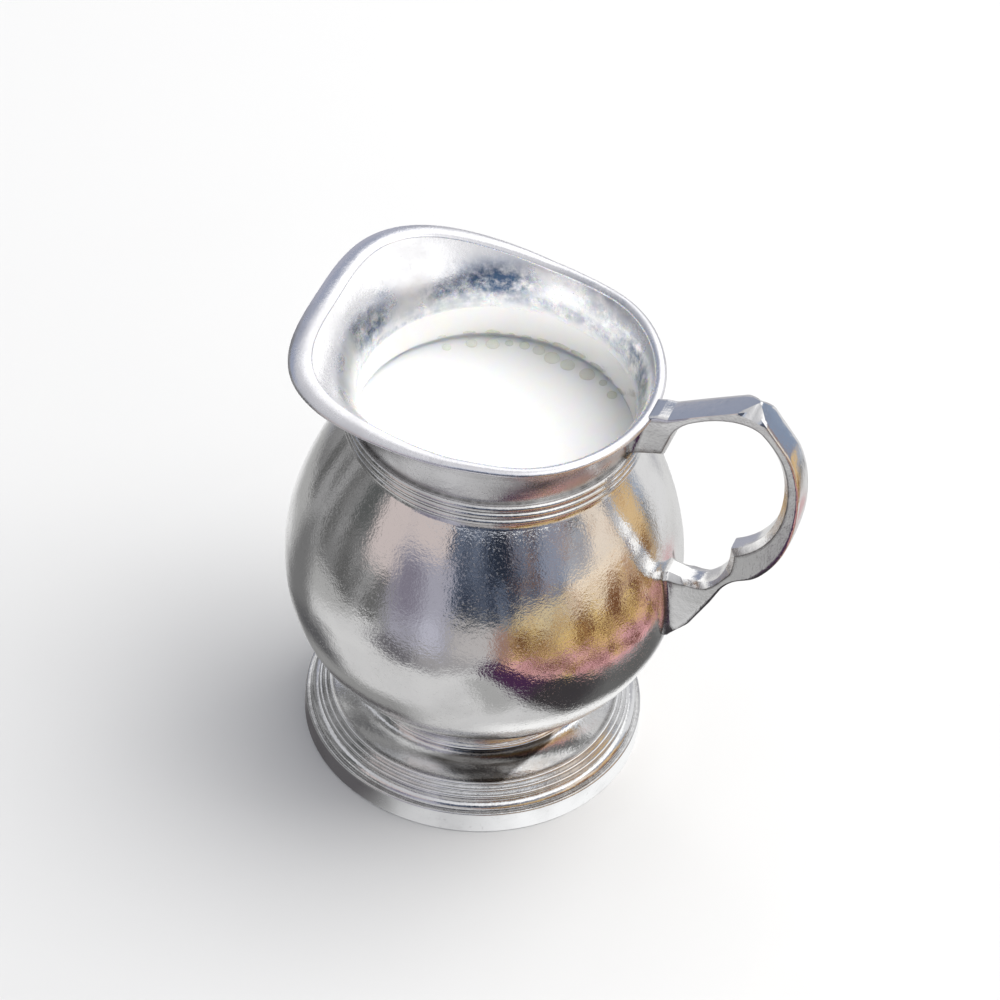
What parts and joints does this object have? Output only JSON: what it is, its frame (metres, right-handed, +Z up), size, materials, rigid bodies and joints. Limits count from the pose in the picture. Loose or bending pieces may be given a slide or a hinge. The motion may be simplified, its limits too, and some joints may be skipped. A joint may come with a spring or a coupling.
{
  "type": "cream jug",
  "caption": "Footed round-bellied metal cream jug with a reeded neck ring, a broad pouring lip and a cusped strap handle.",
  "frame": {"origin": "centre of the foot's bottom edge, on the axis of the round bowl", "axes": "+Z up along the bowl's axis, +X towards the handle, -X towards the pouring lip"},
  "size_m": [0.0959, 0.074, 0.1],
  "materials": {
    "bowl_silver": "polished",
    "mouth_silver": "polished",
    "rim_silver": "polished",
    "foot_silver": "polished",
    "handle_silver": "polished"
  },
  "bodies": {
    "root": {"body": "bowl_silver", "neck_band": "bowl_silver", "mouth_flare": "mouth_silver", "pouring_lip": "mouth_silver", "rim_wire": "rim_silver", "foot_collar": "foot_silver", "foot": "foot_silver", "foot_rim": "foot_silver", "handle": "handle_silver", "handle_upper_root": "handle_silver", "handle_lower_root": "handle_silver"}
  },
  "joints": []
}
